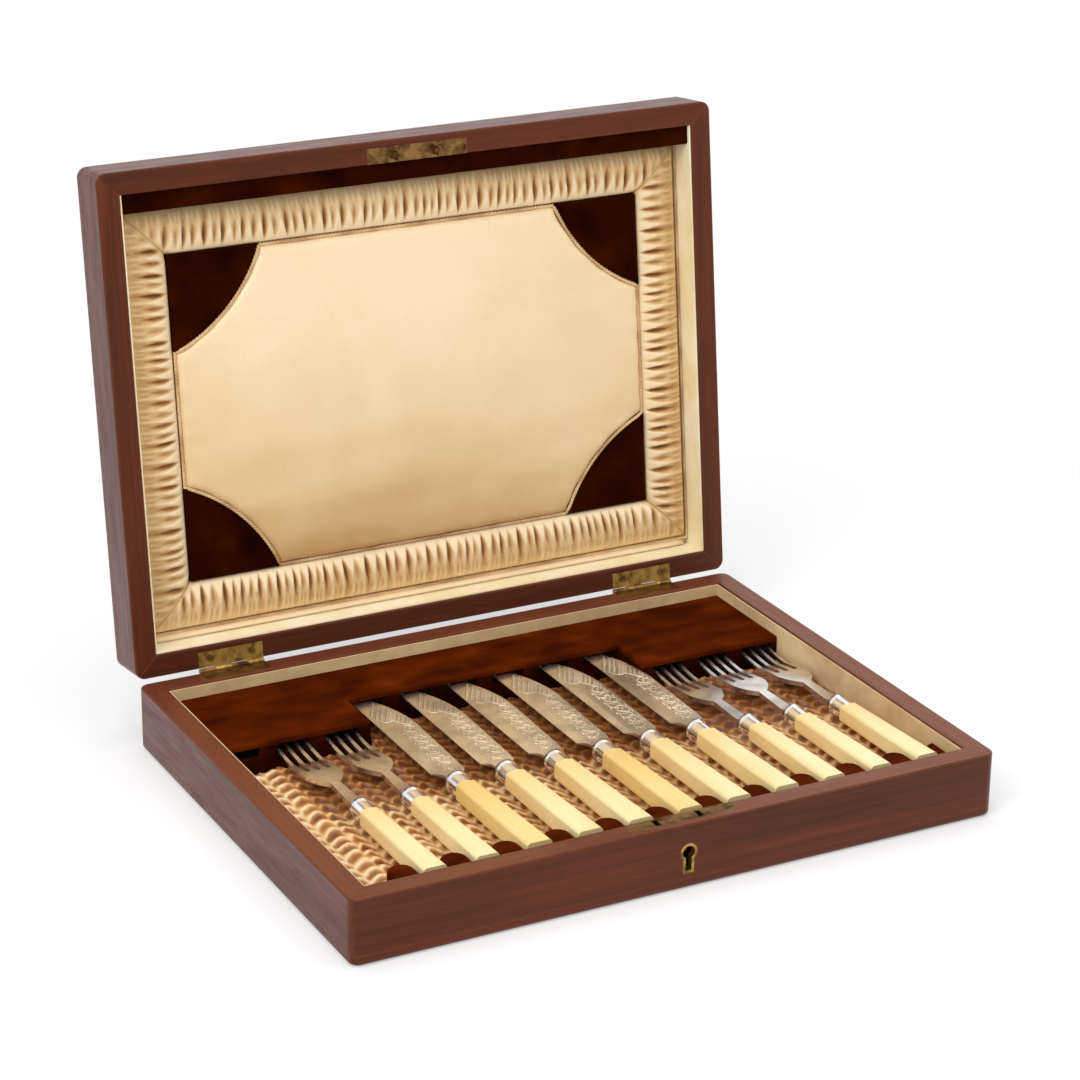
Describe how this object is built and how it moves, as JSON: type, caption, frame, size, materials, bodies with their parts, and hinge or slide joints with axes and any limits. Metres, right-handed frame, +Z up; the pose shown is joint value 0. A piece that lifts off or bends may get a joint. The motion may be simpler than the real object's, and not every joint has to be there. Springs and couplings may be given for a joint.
{
  "type": "silverware chest",
  "caption": "Shallow mahogany cutlery chest with a hinged padded lid, a lock, a ruched satin tray with velvet rails, and loose knives and forks.",
  "frame": {"origin": "centre of the underside of the base", "axes": "+X along the front to the viewer's right, +Y from the keyhole side to the hinges, +Z up"},
  "size_m": [0.33, 0.3063, 0.2788],
  "materials": {
    "mahogany": "french polished, worn",
    "pine": "raw sawn softwood",
    "card": "grey-brown pasteboard",
    "silk_lining": "cream silk on card",
    "satin": "champagne satin",
    "velvet": "rust-brown velvet",
    "gold_cord": "twisted silk cord",
    "brass": "tarnished brass",
    "steel": "drawn wire",
    "silver_plate": "silver plate, lightly worn",
    "ivory_celluloid": "grained ivory-coloured celluloid"
  },
  "bodies": {
    "base": {"base_front_wall": "mahogany", "base_back_wall": "mahogany", "base_left_wall": "mahogany", "base_right_wall": "mahogany", "bottom_board": "mahogany", "base_lining_strips": "silk_lining", "front_velvet_strip": "velvet", "floor_card": "card", "satin_floor": "satin", "tip_rail_top": "velvet", "tip_rail_front": "velvet", "tip_rail_cleat": "pine", "handle_rail_bar": "velvet", "handle_rail_tongues": "velvet", "hinge_base_leaves": "brass", "hinge_pins": "steel", "hinge_base_screws": "brass", "lock_case": "brass", "lock_top_plate": "brass", "lock_screws": "brass", "keyhole_escutcheon": "brass"},
    "lid": {"lid_front_wall": "mahogany", "lid_back_wall": "mahogany", "lid_left_wall": "mahogany", "lid_right_wall": "mahogany", "lid_top_board": "mahogany", "lid_backing_card": "card", "lid_lining_strips": "silk_lining", "lid_velvet_batten": "velvet", "lid_ruffle_border": "satin", "lid_center_pad": "satin", "lid_corner_pads": "velvet", "lid_cord_trims": "gold_cord", "hinge_lid_leaves": "brass", "hinge_lid_screws": "brass", "lock_link_plate": "brass", "link_plate_screws": "brass"},
    "bolt": {"lock_bolt": "brass"},
    "knife_1": {"knife_1_blade": "silver_plate", "knife_1_handle": "ivory_celluloid"},
    "knife_2": {"knife_2_blade": "silver_plate", "knife_2_handle": "ivory_celluloid"},
    "knife_3": {"knife_3_blade": "silver_plate", "knife_3_handle": "ivory_celluloid"},
    "knife_4": {"knife_4_blade": "silver_plate", "knife_4_handle": "ivory_celluloid"},
    "knife_5": {"knife_5_blade": "silver_plate", "knife_5_handle": "ivory_celluloid"},
    "knife_6": {"knife_6_blade": "silver_plate", "knife_6_handle": "ivory_celluloid"},
    "fork_1": {"fork_1_head": "silver_plate", "fork_1_handle": "ivory_celluloid"},
    "fork_2": {"fork_2_head": "silver_plate", "fork_2_handle": "ivory_celluloid"},
    "fork_3": {"fork_3_head": "silver_plate", "fork_3_handle": "ivory_celluloid"},
    "fork_4": {"fork_4_head": "silver_plate", "fork_4_handle": "ivory_celluloid"},
    "fork_5": {"fork_5_head": "silver_plate", "fork_5_handle": "ivory_celluloid"}
  },
  "joints": [
    {"name": "lid_hinge", "type": "hinge", "parent": "base", "child": "lid", "pos_m": [0, 0.1249, 0.03235], "axis": [-1, 0, 0], "range_deg": [-97, 0]},
    {"name": "knife_1_lift", "type": "hinge", "parent": "base", "child": "knife_1", "pos_m": [-0.064, 0.0775, 0.0212], "axis": [-1, 0, 0], "range_deg": [0, 12]},
    {"name": "knife_2_lift", "type": "hinge", "parent": "base", "child": "knife_2", "pos_m": [-0.0384, 0.0775, 0.0212], "axis": [-1, 0, 0], "range_deg": [0, 12]},
    {"name": "knife_3_lift", "type": "hinge", "parent": "base", "child": "knife_3", "pos_m": [-0.0128, 0.0775, 0.0212], "axis": [-1, 0, 0], "range_deg": [0, 12]},
    {"name": "knife_4_lift", "type": "hinge", "parent": "base", "child": "knife_4", "pos_m": [0.0128, 0.0775, 0.0212], "axis": [-1, 0, 0], "range_deg": [0, 12]},
    {"name": "knife_5_lift", "type": "hinge", "parent": "base", "child": "knife_5", "pos_m": [0.0384, 0.0775, 0.0212], "axis": [-1, 0, 0], "range_deg": [0, 12]},
    {"name": "knife_6_lift", "type": "hinge", "parent": "base", "child": "knife_6", "pos_m": [0.064, 0.0775, 0.0212], "axis": [-1, 0, 0], "range_deg": [0, 12]},
    {"name": "fork_1_lift", "type": "hinge", "parent": "base", "child": "fork_1", "pos_m": [-0.1152, 0.051, 0.0212], "axis": [-1, 0, 0], "range_deg": [0, 12]},
    {"name": "fork_2_lift", "type": "hinge", "parent": "base", "child": "fork_2", "pos_m": [-0.0896, 0.051, 0.0212], "axis": [-1, 0, 0], "range_deg": [0, 12]},
    {"name": "fork_3_lift", "type": "hinge", "parent": "base", "child": "fork_3", "pos_m": [0.0896, 0.051, 0.0212], "axis": [-1, 0, 0], "range_deg": [0, 12]},
    {"name": "fork_4_lift", "type": "hinge", "parent": "base", "child": "fork_4", "pos_m": [0.1152, 0.051, 0.0212], "axis": [-1, 0, 0], "range_deg": [0, 12]},
    {"name": "fork_5_lift", "type": "hinge", "parent": "base", "child": "fork_5", "pos_m": [0.1408, 0.051, 0.0212], "axis": [-1, 0, 0], "range_deg": [0, 12]},
    {"name": "lock_bolt_slide", "type": "slide", "parent": "base", "child": "bolt", "axis": [1, 0, 0], "range_m": [0, 0.004]}
  ]
}
